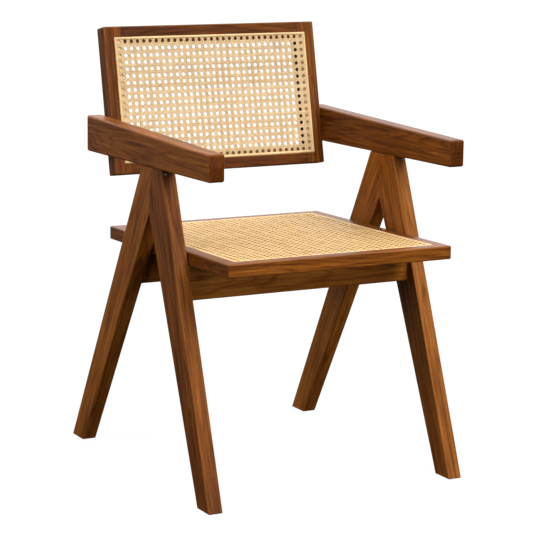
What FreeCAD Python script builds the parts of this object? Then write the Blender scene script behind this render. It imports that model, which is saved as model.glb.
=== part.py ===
import FreeCAD, Part
import math
import os

# A dining armchair of stained hardwood with a cane seat and a cane back.
# Millimetres. +Z is up, the chair faces -Y, and the origin lies on the floor
# at the middle of the footprint.

# Overall sizes
foot_span = 593.5            # toe of the front leg to heel of the rear leg
inner_width = 450.0          # between the arms: also the width of the seat and of the back
back_top_height = 800.0      # front top edge of the back above the floor

# Legs: two boards on each side that lean together into an A
leg_thickness = 27.4
leg_foot_width = 44.0        # measured square to the leg's outer edge
leg_splay = 7.0              # how far the feet stand outside the tops, on each side
leg_edge_radius = 2.4
apex_y = -46.5               # middle of the A's top
apex_width = 80.5            # width of the A where the arm sits on it
crotch_offset = 6.5          # the legs part this far behind the middle of the top
crotch_drop = 85.7           # and this far below it

# Arms
arm_thickness = 31.0
arm_length = 509.5
arm_front_y = -279.5
arm_front_top = 622.3
arm_front_depth = 48.4
arm_rise = 12.6              # how much higher the arm's top is at the rear
arm_rear_depth = 67.8
arm_edge_radius = 4.0

# Seat frame
seat_depth = 489.0
seat_thickness = 24.5
seat_front_y = -294.0
seat_front_height = 435.0
seat_slope = 1.0             # degrees, falling to the rear
seat_rail_width = 45.0
seat_border = 24.0           # bare wood outside the spline
seat_corner_radius = 3.0
seat_edge_radius = 2.5

# Back frame
back_thickness = 31.0
back_tilt = 11.9             # degrees, leaning to the rear
back_inset = 64.5            # front lower edge ahead of the arm's rear end
back_below_arm = 39.5        # front lower edge below the arm's rear end
back_member_width = 35.0
back_border = 20.0           # bare wood outside the spline
back_corner_radius = 2.5
back_edge_radius = 2.5

# Cane webbing and the reed spline that wedges it in its groove
cane_thickness = 2.0
groove_width = 5.6
groove_depth = 7.0
spline_crown = 1.0           # how far the spline stands above the wood
spline_round = 1.4           # crown's rounding, or this share of the width where that is less:
spline_round_limit = 0.45
groove_clearance = 0.1

# Stretchers under the seat
stretcher_thickness = 25.0
stretcher_height = 63.0
stretcher_edge_radius = 2.0
stretcher_setback = 13.7     # front stretcher behind the front leg's outer edge
tenon_length = 15.0
tenon_thickness = 11.0
tenon_height = 38.0
tenon_clearance = 0.1
mortise_spare = 1.0          # mortise deeper than the tenon is long

# Corner blocks behind the rear legs' joint with the rear stretcher
block_drop = 5.0             # below the seat frame
block_height = 48.0
block_top_leg = 29.0
block_bottom_leg = 16.5

# Dowels, keys and screws
dowel_diameter = 8.0
dowel_length = 40.0
dowel_clearance = 0.1
dowel_spare = 1.0            # hole longer than the dowel at each end
apex_dowel_drops = (36.0, 64.0)
arm_dowel_offset = 22.0      # to the front and the rear of the apex's middle
arm_back_dowel_inset = 16.5  # from the arm's lower and upper edges
back_dowel_spacing = 18.0
key_thickness = 4.0
key_length = 30.0            # across the mitre
key_wall = 2.0               # wood left outside the key's corners
key_clearance = 0.1
screw_diameter = 4.0
screw_head_diameter = 6.5
screw_head_height = 2.6
screw_clearance = 0.1
apex_screw_length = 62.0
apex_screw_drop = 8.5        # below the arm
apex_screw_inset = 7.0       # from the outer face of the leg
seat_screw_length = 40.0
seat_screw_grip = 15.0       # length in the seat rail
seat_screw_inset = 18.0      # from the side of the seat
counterbore_diameter = 9.0

overrun = 20.0               # extra stock that is trimmed off again
flush = 1e-4                 # places nearer than this count as one

half_width = inner_width / 2
slope = math.radians(seat_slope)
tilt = math.radians(back_tilt)
mitre_angle = 45.0
key_width = math.sqrt(2) * (seat_rail_width - 2 * key_wall) - key_length
arm_rear_y = arm_front_y + arm_length
arm_rear_top = arm_front_top + arm_rise
arm_rear_underside = arm_rear_top - arm_rear_depth
back_bottom_y = arm_rear_y - back_inset
back_bottom_height = arm_rear_underside - back_below_arm
back_height = (back_top_height - back_bottom_height) / math.cos(tilt)
# The dowels in a leg lie midway between the apex screw and the leg's inner face.
leg_dowel_inset = (leg_thickness - apex_screw_inset - screw_diameter / 2) / 2
X_AXIS = FreeCAD.Vector(1, 0, 0)
Y_AXIS = FreeCAD.Vector(0, 1, 0)
Z_AXIS = FreeCAD.Vector(0, 0, 1)


def arm_underside(y):
    """Height of the arms' straight lower edge at a place along the chair."""
    share = (y - arm_front_y) / arm_length
    front = arm_front_top - arm_front_depth
    return front + (arm_rear_underside - front) * share


def seat_underside(y):
    """Height of the seat frame's lower face at a place along the chair."""
    drop = (y - seat_front_y) * math.tan(slope)
    return seat_front_height - drop - seat_thickness / math.cos(slope)


apex_height = arm_underside(apex_y)
crotch = (apex_y + crotch_offset, apex_height - crotch_drop)
side_reach = half_width + leg_splay + leg_thickness + overrun


def leg_inner_face(z):
    """Distance of a leg's inner face from the middle of the chair at a height."""
    return half_width + leg_splay * (apex_height - z) / apex_height


def prism_along_x(outline, x_start, x_end):
    """A solid with an outline of (y, z) points, from x_start to x_end."""
    points = [FreeCAD.Vector(x_start, y, z) for y, z in outline]
    face = Part.Face(Part.makePolygon(points + points[:1]))
    return face.extrude(FreeCAD.Vector(x_end - x_start, 0, 0))


def prism_along_y(outline, y_start, y_end):
    """A solid with an outline of (x, z) points, from y_start to y_end."""
    points = [FreeCAD.Vector(x, y_start, z) for x, z in outline]
    face = Part.Face(Part.makePolygon(points + points[:1]))
    return face.extrude(FreeCAD.Vector(0, y_end - y_start, 0))


def prism_along_z(outline, z_start, z_end):
    """A solid with an outline of (x, y) points, from z_start to z_end."""
    points = [FreeCAD.Vector(x, y, z_start) for x, y in outline]
    face = Part.Face(Part.makePolygon(points + points[:1]))
    return face.extrude(FreeCAD.Vector(0, 0, z_end - z_start))


def box(x_low, x_high, y_low, y_high, z_low, z_high):
    """A block between two opposite corners."""
    corner = FreeCAD.Vector(x_low, y_low, z_low)
    return Part.makeBox(x_high - x_low, y_high - y_low, z_high - z_low, corner)


def rod(middle, axis, diameter, length):
    """A cylinder about its middle point."""
    start = middle - axis * (length / 2)
    return Part.makeCylinder(diameter / 2, length, start, axis)


def dowel_and_hole(middle, axis):
    """A dowel, and the hole that takes it with its clearance and end room."""
    hole_diameter = dowel_diameter + 2 * dowel_clearance
    hole_length = dowel_length + 2 * dowel_spare
    return rod(middle, axis, dowel_diameter, dowel_length), rod(middle, axis, hole_diameter, hole_length)


def screw(head_top, axis, length, spare):
    """A countersunk screw from its head's flat top along an axis, grown all round by a spare."""
    radius = screw_diameter / 2 + spare
    head_radius = screw_head_diameter / 2 + spare
    head = Part.makeCone(head_radius, radius, screw_head_height, head_top, axis)
    shank = Part.makeCylinder(radius, length + spare, head_top, axis)
    return head.fuse(shank).removeSplitter()


def mirrored(shape):
    """The same shape on the other side of the chair."""
    return shape.mirror(FreeCAD.Vector(0, 0, 0), X_AXIS)


def along(edge, axis):
    """True where a straight edge runs along an axis."""
    start, end = edge.Vertexes[0].Point, edge.Vertexes[-1].Point
    run = end - start
    return run.Length > flush and abs(abs(run.normalize().dot(axis)) - 1) < flush


def joins(edge, first, second):
    """True where an edge runs between two (y, z) points, either way round."""
    ends = [(v.Point.y, v.Point.z) for v in edge.Vertexes]
    forward = math.dist(ends[0], first) < flush and math.dist(ends[-1], second) < flush
    backward = math.dist(ends[0], second) < flush and math.dist(ends[-1], first) < flush
    return forward or backward


def at_height(lower, upper, z):
    """The point at a height on the line through two (y, z) points."""
    share = (z - lower[1]) / (upper[1] - lower[1])
    return lower[0] + (upper[0] - lower[0]) * share, z


# Arm: a straight bar that lies on the A and along the outside of the back
arm_outline = [
    (arm_front_y, arm_front_top - arm_front_depth),
    (arm_rear_y, arm_rear_underside),
    (arm_rear_y, arm_rear_top),
    (arm_front_y, arm_front_top),
]
armrest = prism_along_x(arm_outline, half_width, half_width + arm_thickness)
armrest = armrest.makeFillet(arm_edge_radius, armrest.Edges)


# Legs. Each is a tapered board: its outer edge runs from the foot to the arm, its inner edge
# from the foot to the crotch, and above the crotch it is mitred to the other leg.
# A leg's end is -1 for the front leg and 1 for the rear leg.
def outer_edge(end):
    """Foot and top of a leg's outer edge, as (y, z) points."""
    top_y = apex_y + end * apex_width / 2
    return (end * foot_span / 2, 0.0), (top_y, arm_underside(top_y))


def inner_edge(end):
    """Foot and crotch of a leg's inner edge, as (y, z) points."""
    foot, top = outer_edge(end)
    lean = math.atan2(abs(top[0] - foot[0]), top[1])
    return (foot[0] - end * leg_foot_width / math.cos(lean), 0.0), crotch


def leg(end):
    """One leg of the right-hand A, before its joints are cut."""
    mitre_top = (apex_y, apex_height)
    outer_low = at_height(*outer_edge(end), -overrun)
    outer_high = at_height(*outer_edge(end), apex_height + overrun)
    inner_low = at_height(*inner_edge(end), -overrun)
    mitre_high = at_height(crotch, mitre_top, apex_height + overrun)
    outline = [outer_low, inner_low, crotch, mitre_high, outer_high]
    board = prism_along_x(outline, half_width, half_width + leg_thickness)
    long_edges = [e for e in board.Edges if joins(e, outer_low, outer_high) or joins(e, inner_low, crotch)]
    board = board.makeFillet(leg_edge_radius, long_edges)
    lean_out = math.degrees(math.atan(leg_splay / apex_height))
    board.rotate(FreeCAD.Vector(half_width, 0, apex_height), Y_AXIS, -lean_out)
    below_floor = box(0, side_reach, -foot_span, foot_span, -2 * overrun, 0)
    return board.cut(below_floor).cut(prism_along_x(arm_outline, 0, side_reach))


front_leg = leg(-1)
rear_leg = leg(1)


# Seat frame and back frame: a flat ring of four members, worked out lying flat with its
# show face at z = 0, its lower or front edge along y = 0 and its thickness below.
def inset_box(width, length, inset, z_low, z_high):
    """A block that lies the inset inside a panel's outline."""
    return box(inset - width / 2, width / 2 - inset, inset, length - inset, z_low, z_high)


def panel_ring(width, length, thickness, member, border, corner_radius, edge_radius):
    """The whole ring, rounded outside, with the cane's shallow seat and the spline's groove."""
    body = inset_box(width, length, 0, -thickness, 0)
    body = body.makeFillet(corner_radius, [e for e in body.Edges if along(e, Z_AXIS)])
    rims = [e for e in body.Edges if abs(e.BoundBox.ZMax - e.BoundBox.ZMin) < flush]
    body = body.makeFillet(edge_radius, rims)
    inner = border + groove_width
    opening = inset_box(width, length, member, -thickness - overrun, overrun)
    cane_seat = inset_box(width, length, inner, -cane_thickness, overrun)
    groove = inset_box(width, length, border, -groove_depth, overrun)
    groove = groove.cut(inset_box(width, length, inner, -groove_depth, overrun))
    return body.cut(opening).cut(cane_seat).cut(groove)


def panel_cane(width, length, border):
    """The webbing: a flat sheet flush with the frame, its rim turned down into the groove."""
    rim = border + groove_width - cane_thickness
    inner = border + groove_width
    sheet = inset_box(width, length, rim, -groove_depth + groove_clearance, 0)
    return sheet.cut(inset_box(width, length, inner, -groove_depth, -cane_thickness))


def panel_spline(width, length, border):
    """The reed spline: a ring wedged between the cane's rim and the groove's outer wall."""
    outer = border + groove_clearance
    inner = border + groove_width - cane_thickness - groove_clearance
    ring = inset_box(width, length, outer, -groove_depth, spline_crown)
    ring = ring.cut(inset_box(width, length, inner, -groove_depth, spline_crown))
    crown = [e for e in ring.Edges if e.BoundBox.ZMin > spline_crown - flush]
    return ring.makeFillet(min(spline_round, spline_round_limit * (inner - outer)), crown)


def on_seat(shape):
    """Carries a shape from the flat layout to the seat."""
    placed = shape.copy()
    placed.rotate(FreeCAD.Vector(0, 0, 0), X_AXIS, -seat_slope)
    placed.translate(FreeCAD.Vector(0, seat_front_y, seat_front_height))
    return placed


def on_back(shape):
    """Carries a shape from the flat layout to the leaning back."""
    placed = shape.copy()
    placed.rotate(FreeCAD.Vector(0, 0, 0), X_AXIS, 90 - back_tilt)
    placed.translate(FreeCAD.Vector(0, back_bottom_y, back_bottom_height))
    return placed


seat_ring = panel_ring(inner_width, seat_depth, seat_thickness, seat_rail_width, seat_border,
                       seat_corner_radius, seat_edge_radius)
back_ring = panel_ring(inner_width, back_height, back_thickness, back_member_width, back_border,
                       back_corner_radius, back_edge_radius)

# Seat mitre keys: thin tongues across the four mitres, halfway between the groove and the underside
mitre_places = []
for side in (-1, 1):
    for near_y, way in ((0, 1), (seat_depth, -1)):
        reach = seat_rail_width / 2
        mitre_places.append((side * (half_width - reach), near_y + way * reach, side * way))


def mitre_key(x, y, turn, spare):
    """A tongue square across a mitre, grown all round by a spare."""
    across = key_length / 2 + spare
    width = key_width / 2 + spare
    thick = key_thickness / 2 + spare
    key = box(-across, across, -width, width, -thick, thick)
    key.rotate(FreeCAD.Vector(0, 0, 0), Z_AXIS, mitre_angle * turn)
    key.translate(FreeCAD.Vector(x, y, -(groove_depth + seat_thickness) / 2))
    return key


mitre_keys = [mitre_key(x, y, turn, 0) for x, y, turn in mitre_places]
for x, y, turn in mitre_places:
    seat_ring = seat_ring.cut(mitre_key(x, y, turn, key_clearance))

# Back frame dowels: two at each butt joint of stile and rail
back_dowels = []
joint_x = half_width - back_member_width
for side in (-1, 1):
    for rail_y in (back_member_width / 2, back_height - back_member_width / 2):
        for step in (-0.5, 0.5):
            y = rail_y + step * back_dowel_spacing
            middle = FreeCAD.Vector(side * joint_x, y, -back_thickness / 2)
            dowel, hole = dowel_and_hole(middle, X_AXIS)
            back_dowels.append(dowel)
            back_ring = back_ring.cut(hole)

# The rings are sawn into their members: mitres on the seat, butt joints on the back
seat_low = -seat_thickness - overrun
rail_span = seat_rail_width + overrun
mitre_outlines = {
    "seat_front_rail": [(-half_width - overrun, -overrun), (half_width + overrun, -overrun),
                        (half_width - rail_span, rail_span), (rail_span - half_width, rail_span)],
    "seat_right_rail": [(half_width + overrun, -overrun), (half_width + overrun, seat_depth + overrun),
                        (half_width - rail_span, seat_depth - rail_span),
                        (half_width - rail_span, rail_span)],
}
seat_rails = {}
for name, outline in mitre_outlines.items():
    seat_rails[name] = seat_ring.common(prism_along_z(outline, seat_low, overrun))
rear_outline = [(x, seat_depth - y) for x, y in mitre_outlines["seat_front_rail"]]
seat_rails["seat_rear_rail"] = seat_ring.common(prism_along_z(rear_outline, seat_low, overrun))
left_outline = [(-x, y) for x, y in mitre_outlines["seat_right_rail"]]
seat_rails["seat_left_rail"] = seat_ring.common(prism_along_z(left_outline, seat_low, overrun))

back_low = -back_thickness - overrun
stile_room = box(joint_x, half_width + overrun, -overrun, back_height + overrun, back_low, overrun)
rail_room = box(-joint_x, joint_x, -overrun, back_height / 2, back_low, overrun)
top_rail_room = box(-joint_x, joint_x, back_height / 2, back_height + overrun, back_low, overrun)
right_stile = on_back(back_ring.common(stile_room))
left_stile = on_back(back_ring.common(mirrored(stile_room)))
bottom_rail = on_back(back_ring.common(rail_room))
top_rail = on_back(back_ring.common(top_rail_room))
seat_rails = {name: on_seat(rail) for name, rail in seat_rails.items()}


# Stretchers: upright boards under the seat. Their ends follow the splay of the legs, their
# tops the slope of the seat, and a tenon at each end goes into the leg.
def edge_beside_stretcher(lower, upper):
    """Place along the chair where a leg's edge crosses the stretchers' mid-height."""
    lean = (upper[0] - lower[0]) / (upper[1] - lower[1])
    fall = math.tan(slope)
    middle = seat_underside(0) - stretcher_height / 2
    z = (middle - fall * (lower[0] - lean * lower[1])) / (1 + fall * lean)
    return at_height(lower, upper, z)[0]


front_stretcher_y = edge_beside_stretcher(*outer_edge(-1)) + stretcher_setback
rear_leg_middle = (edge_beside_stretcher(*outer_edge(1)) + edge_beside_stretcher(*inner_edge(1))) / 2
rear_stretcher_y = rear_leg_middle - stretcher_thickness / 2


def stretcher_and_mortise(front_y):
    """A stretcher with both tenons, and the right-hand leg's mortise."""
    rear_y = front_y + stretcher_thickness
    top_front = seat_underside(front_y)
    top_rear = seat_underside(rear_y)
    bottom = top_front - stretcher_height
    ends = [
        (-leg_inner_face(bottom), bottom),
        (leg_inner_face(bottom), bottom),
        (leg_inner_face(top_front), top_front),
        (-leg_inner_face(top_front), top_front),
    ]
    section = [(front_y, bottom), (rear_y, bottom), (rear_y, top_rear), (front_y, top_front)]
    reach = leg_inner_face(0) + tenon_length
    board = prism_along_x(section, -reach, reach)
    lower_edges = [e for e in board.Edges if along(e, X_AXIS) and e.BoundBox.ZMax < bottom + flush]
    board = board.makeFillet(stretcher_edge_radius, lower_edges)
    board = board.common(prism_along_y(ends, front_y - overrun, rear_y + overrun))
    middle_y = front_y + stretcher_thickness / 2
    middle_z = bottom + stretcher_height / 2
    shoulder = leg_inner_face(middle_z)

    def tenon(length, spare):
        """A block from inside the stretcher to its depth in the leg, grown by a spare."""
        depth = tenon_thickness / 2 + spare
        rise = tenon_height / 2 + spare
        return box(shoulder - tenon_length, shoulder + length, middle_y - depth, middle_y + depth,
                   middle_z - rise, middle_z + rise)

    right_tenon = tenon(tenon_length, 0)
    board = board.fuse([right_tenon, mirrored(right_tenon)]).removeSplitter()
    return board, tenon(tenon_length + mortise_spare, tenon_clearance)


front_stretcher, front_mortise = stretcher_and_mortise(front_stretcher_y)
rear_stretcher, rear_mortise = stretcher_and_mortise(rear_stretcher_y)
front_leg = front_leg.cut(front_mortise)
rear_leg = rear_leg.cut(rear_mortise)


# Corner block: a tapered three-sided block in the corner of the rear leg and the rear stretcher
def block_section(leg_length, z):
    """The block's right-angled triangle at a height."""
    corner_x = leg_inner_face(z)
    points = [
        FreeCAD.Vector(corner_x, rear_stretcher_y, z),
        FreeCAD.Vector(corner_x - leg_length, rear_stretcher_y, z),
        FreeCAD.Vector(corner_x, rear_stretcher_y - leg_length, z),
    ]
    return Part.makePolygon(points + points[:1])


block_top = seat_underside(rear_stretcher_y) - block_drop
corner_block = Part.makeLoft([block_section(block_bottom_leg, block_top - block_height),
                              block_section(block_top_leg, block_top)], True, True)

# Apex dowels across the legs' mitre, and arm dowels from the legs up into the arm
apex_dowels = []
for drop in apex_dowel_drops:
    z = apex_height - drop
    mitre_y = apex_y + crotch_offset * drop / crotch_drop
    middle = FreeCAD.Vector(leg_inner_face(z) + leg_dowel_inset, mitre_y, z)
    dowel, hole = dowel_and_hole(middle, Y_AXIS)
    apex_dowels.append(dowel)
    front_leg = front_leg.cut(hole)
    rear_leg = rear_leg.cut(hole)

arm_dowels = []
for way in (-1, 1):
    y = apex_y + way * arm_dowel_offset
    middle = FreeCAD.Vector(half_width + leg_dowel_inset, y, arm_underside(y))
    dowel, hole = dowel_and_hole(middle, Z_AXIS)
    arm_dowels.append(dowel)
    armrest = armrest.cut(hole)
    front_leg = front_leg.cut(hole)
    rear_leg = rear_leg.cut(hole)

# Arm to back dowels, through the face where the arm lies against the stile
arm_back_dowels = []
for z in (arm_rear_underside + arm_back_dowel_inset, arm_rear_top - arm_back_dowel_inset):
    y = back_bottom_y + (z - back_bottom_height) * math.tan(tilt) + back_thickness / 2 / math.cos(tilt)
    dowel, hole = dowel_and_hole(FreeCAD.Vector(half_width, y, z), X_AXIS)
    arm_back_dowels.append(dowel)
    armrest = armrest.cut(hole)
    right_stile = right_stile.cut(hole)
    left_stile = left_stile.cut(mirrored(hole))

# Apex screw: from the front leg's front edge through the mitre into the rear leg
screw_z = apex_height - apex_screw_drop
screw_x = leg_inner_face(screw_z) + leg_thickness - apex_screw_inset
screw_y = at_height(*outer_edge(-1), screw_z)[0]
screw_head = FreeCAD.Vector(screw_x, screw_y, screw_z)
apex_screw = screw(screw_head, Y_AXIS, apex_screw_length, 0)
screw_hole = screw(screw_head, Y_AXIS, apex_screw_length, screw_clearance)
head_room = rod(screw_head, Y_AXIS, screw_head_diameter + 2 * screw_clearance, screw_head_height)
screw_hole = screw_hole.fuse(head_room)
front_leg = front_leg.cut(screw_hole)
rear_leg = rear_leg.cut(screw_hole)

# Seat screws: up through a counterbore in each stretcher's end into the seat's side rails
seat_screws = []
stretcher_boards = {"front": front_stretcher, "rear": rear_stretcher}
for place, front_y in (("front", front_stretcher_y), ("rear", rear_stretcher_y)):
    y = front_y + stretcher_thickness / 2
    head_z = seat_underside(y) + seat_screw_grip - seat_screw_length
    for side in (-1, 1):
        head = FreeCAD.Vector(side * (half_width - seat_screw_inset), y, head_z)
        seat_screws.append(screw(head, Z_AXIS, seat_screw_length, 0))
        hole = screw(head, Z_AXIS, seat_screw_length, screw_clearance)
        deep = stretcher_height + overrun
        bore = Part.makeCylinder(counterbore_diameter / 2, deep, head - Z_AXIS * deep, Z_AXIS)
        stretcher_boards[place] = stretcher_boards[place].cut(hole).cut(bore)
        rail = "seat_left_rail" if side < 0 else "seat_right_rail"
        seat_rails[rail] = seat_rails[rail].cut(hole)


def pair(shapes):
    """Shapes of the right-hand side together with their mirror images."""
    return Part.makeCompound(shapes + [mirrored(s) for s in shapes])


nodes = {
    "left_front_leg": mirrored(front_leg),
    "right_front_leg": front_leg,
    "left_rear_leg": mirrored(rear_leg),
    "right_rear_leg": rear_leg,
    "left_armrest": mirrored(armrest),
    "right_armrest": armrest,
    "front_stretcher": stretcher_boards["front"],
    "rear_stretcher": stretcher_boards["rear"],
    "left_corner_block": mirrored(corner_block),
    "right_corner_block": corner_block,
    "seat_front_rail": seat_rails["seat_front_rail"],
    "seat_rear_rail": seat_rails["seat_rear_rail"],
    "seat_left_rail": seat_rails["seat_left_rail"],
    "seat_right_rail": seat_rails["seat_right_rail"],
    "seat_cane": on_seat(panel_cane(inner_width, seat_depth, seat_border)),
    "seat_spline": on_seat(panel_spline(inner_width, seat_depth, seat_border)),
    "back_left_stile": left_stile,
    "back_right_stile": right_stile,
    "back_top_rail": top_rail,
    "back_bottom_rail": bottom_rail,
    "back_cane": on_back(panel_cane(inner_width, back_height, back_border)),
    "back_spline": on_back(panel_spline(inner_width, back_height, back_border)),
    "apex_dowels": pair(apex_dowels),
    "arm_dowels": pair(arm_dowels),
    "arm_to_back_dowels": pair(arm_back_dowels),
    "back_frame_dowels": on_back(Part.makeCompound(back_dowels)),
    "seat_mitre_keys": on_seat(Part.makeCompound(mitre_keys)),
    "apex_screws": pair([apex_screw]),
    "seat_screws": Part.makeCompound(seat_screws),
}

os.makedirs("parts", exist_ok=True)
for name, shape in nodes.items():
    if not shape.isValid():
        raise ValueError(name + " is not a valid shape")
    shape.exportStep("parts/" + name + ".step")
    print(name, len(shape.Solids), "solids,", round(shape.Volume / 1000, 1), "cm3")
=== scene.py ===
import math

import bpy
import numpy as np
from mathutils import Matrix, Vector


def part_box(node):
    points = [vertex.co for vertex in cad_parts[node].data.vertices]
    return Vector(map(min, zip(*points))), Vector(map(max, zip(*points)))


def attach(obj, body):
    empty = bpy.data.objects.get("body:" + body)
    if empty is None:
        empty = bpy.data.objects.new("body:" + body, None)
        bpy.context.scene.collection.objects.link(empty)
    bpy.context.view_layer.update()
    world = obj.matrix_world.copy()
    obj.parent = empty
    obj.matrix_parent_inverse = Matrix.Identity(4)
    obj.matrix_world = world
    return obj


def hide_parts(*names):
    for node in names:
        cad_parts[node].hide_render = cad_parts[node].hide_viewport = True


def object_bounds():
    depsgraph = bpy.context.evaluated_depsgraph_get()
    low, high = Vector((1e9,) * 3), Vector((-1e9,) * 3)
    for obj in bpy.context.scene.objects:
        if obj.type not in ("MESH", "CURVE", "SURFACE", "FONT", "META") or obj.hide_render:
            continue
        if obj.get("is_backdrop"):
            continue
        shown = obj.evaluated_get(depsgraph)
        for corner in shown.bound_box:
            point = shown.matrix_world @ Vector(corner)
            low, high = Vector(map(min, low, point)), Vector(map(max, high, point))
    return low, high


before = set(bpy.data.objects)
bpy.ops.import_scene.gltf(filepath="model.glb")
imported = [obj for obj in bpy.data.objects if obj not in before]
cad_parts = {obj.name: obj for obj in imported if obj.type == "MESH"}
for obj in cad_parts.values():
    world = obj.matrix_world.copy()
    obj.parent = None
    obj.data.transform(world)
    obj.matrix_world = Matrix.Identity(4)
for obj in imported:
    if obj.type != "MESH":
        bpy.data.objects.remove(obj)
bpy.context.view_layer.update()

# Legs
# Two tapered boards of stained hardwood on each side lean together into an A. They are mitred above
# the crotch and doweled across the mitre, their arrises are eased, and their feet are cut level.
rng = np.random.default_rng(11)    # sets each board's figure and each strand's tone
leg_thickness = 0.0274
leg_foot_width = 0.044
leg_splay = 0.007            # how far each foot stands outside its top
leg_arris = 0.0024
mitre_arris = 0.0004
foot_arris = 0.0016
apex_y = -0.0465             # middle of the A's top
apex_width = 0.0805
crotch_offset = 0.0065       # the legs part this far behind the middle of the top
crotch_drop = 0.0857         # and this far below it
mitre_start = 0.001          # the mitre's sharper arrises begin this far over the crotch
arm_low, arm_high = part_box("right_armrest")
arm_front_top = 0.6223
arm_front_depth = 0.0484
toe_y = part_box("right_front_leg")[0].y
heel_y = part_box("right_rear_leg")[1].y
half_width = arm_low.x       # inner faces of the arms, and the sides of the seat and back
quarter_turn = np.linspace(0.0, np.pi / 2, 5)
end_turn = np.linspace(np.pi / 2, 0.0, 4)
flat_strip = 0.0006          # kept flat beside each arris, so that the broad faces shade flat
least_radius = 0.00005       # where an edge is left sharp
crease = math.radians(35.0)  # sharper edges than this are not shaded round
log_reach = 9.0              # boards come from this far up and down the log
pith_near, pith_far = 0.05, 0.12
tone_spread = 0.02           # of the stain, from board to board
leg_tones = {"left_front": 0.01, "left_rear": 0.08, "right_front": 0.06, "right_rear": 0.085}


def unit(vectors):
    """Vectors divided by their own length, along the last axis."""
    return vectors / np.linalg.norm(vectors, axis=-1, keepdims=True)


def eased_bar(corners, radii, ease):
    """A straight bar with rounded arrises, as a grid of closed sections.

    corners is (sections, corners, 3) and radii (sections, corners). Each end is rounded over by ease: the
    section moves in by ease (1 - cos t) while it lies ease (1 - sin t) from the end, for t from 90 to 0
    degrees. Then each corner becomes a quarter round, corner + r (1 - sin t) back + r (1 - cos t) ahead,
    with a point on the flat at either side. Returns the grid, and where it is arris and where end grain.
    """
    corners, radii = np.asarray(corners, float), np.asarray(radii, float)
    back = unit(np.roll(corners, 1, axis=1) - corners)
    ahead = unit(np.roll(corners, -1, axis=1) - corners)
    turn = np.cross(ahead, back)
    convex = np.sign(np.sum(turn * turn.sum(axis=1, keepdims=True), axis=2, keepdims=True))
    inward = convex * (back + ahead)
    stacks, rounds, ended = [corners[1:-1]], [radii[1:-1]], [np.zeros(len(corners) - 2)]
    for end, neighbour in ((0, 1), (-1, -2)):
        heading = unit(corners[neighbour] - corners[end])
        inset = np.append(ease[end] * (1 - np.cos(end_turn)), 0.0)
        step = np.append(ease[end] * (1 - np.sin(end_turn)), ease[end] + flat_strip)
        stack = corners[end] + step[:, None, None] * heading + inset[:, None, None] * inward[end]
        turned = np.maximum(radii[end] - inset[:, None], least_radius)
        share = np.append(np.sin(end_turn) ** 2, 0.0)
        order = slice(None) if end == 0 else slice(None, None, -1)
        place = 0 if end == 0 else len(stacks)
        stacks.insert(place, stack[order])
        rounds.insert(place, turned[order])
        ended.insert(place, share[order])
    corners, radii = np.concatenate(stacks), np.concatenate(rounds)[:, :, None]
    ended = np.concatenate(ended)
    back = unit(np.roll(corners, 1, axis=1) - corners)[:, :, None]
    ahead = unit(np.roll(corners, -1, axis=1) - corners)[:, :, None]
    flat, none = radii + flat_strip, np.zeros_like(radii)
    to_back = np.concatenate([flat, radii * (1 - np.sin(quarter_turn)), none], axis=2)[..., None]
    to_ahead = np.concatenate([none, radii * (1 - np.cos(quarter_turn)), flat], axis=2)[..., None]
    grid = corners[:, :, None] + to_back * back + to_ahead * ahead
    around = np.tile(np.concatenate([[0.0], np.sin(2 * quarter_turn), [0.0]]), corners.shape[1])
    arris = np.maximum(around[None], np.sin(np.pi * ended)[:, None])
    return grid.reshape(len(corners), -1, 3), arris, np.tile(ended[:, None], (1, len(around)))


def faces_of(grid, first, ring):
    """Four-sided faces between a grid's sections, and a cap on each end unless the sections form a ring.

    The enclosed volume, a sixth of the sum of p . (q x r) over the triangles, says whether they must be
    turned over to point outwards.
    """
    sections, around = grid.shape[:2]
    index = np.arange(sections * around).reshape(sections, around)
    rows = np.concatenate([index, index[:1]]) if ring else index
    turned = np.roll(rows, -1, axis=1)
    quads = np.stack([rows[:-1], turned[:-1], turned[1:], rows[1:]], axis=-1).reshape(-1, 4)
    caps = [] if ring else [index[0][::-1], index[-1]]
    points = grid.reshape(-1, 3) - grid.reshape(-1, 3).mean(axis=0)
    fans = [np.stack([np.full(around - 2, cap[0]), cap[1:-1], cap[2:]], axis=-1) for cap in caps]
    triangles = np.concatenate([quads[:, :3], quads[:, [0, 2, 3]], *fans])
    p, q, r = points[triangles.T]
    if np.sum(p * np.cross(q, r)) < 0:
        quads, caps = quads[:, ::-1], [cap[::-1] for cap in caps]
    return quads + first, [cap + first for cap in caps]


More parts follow.
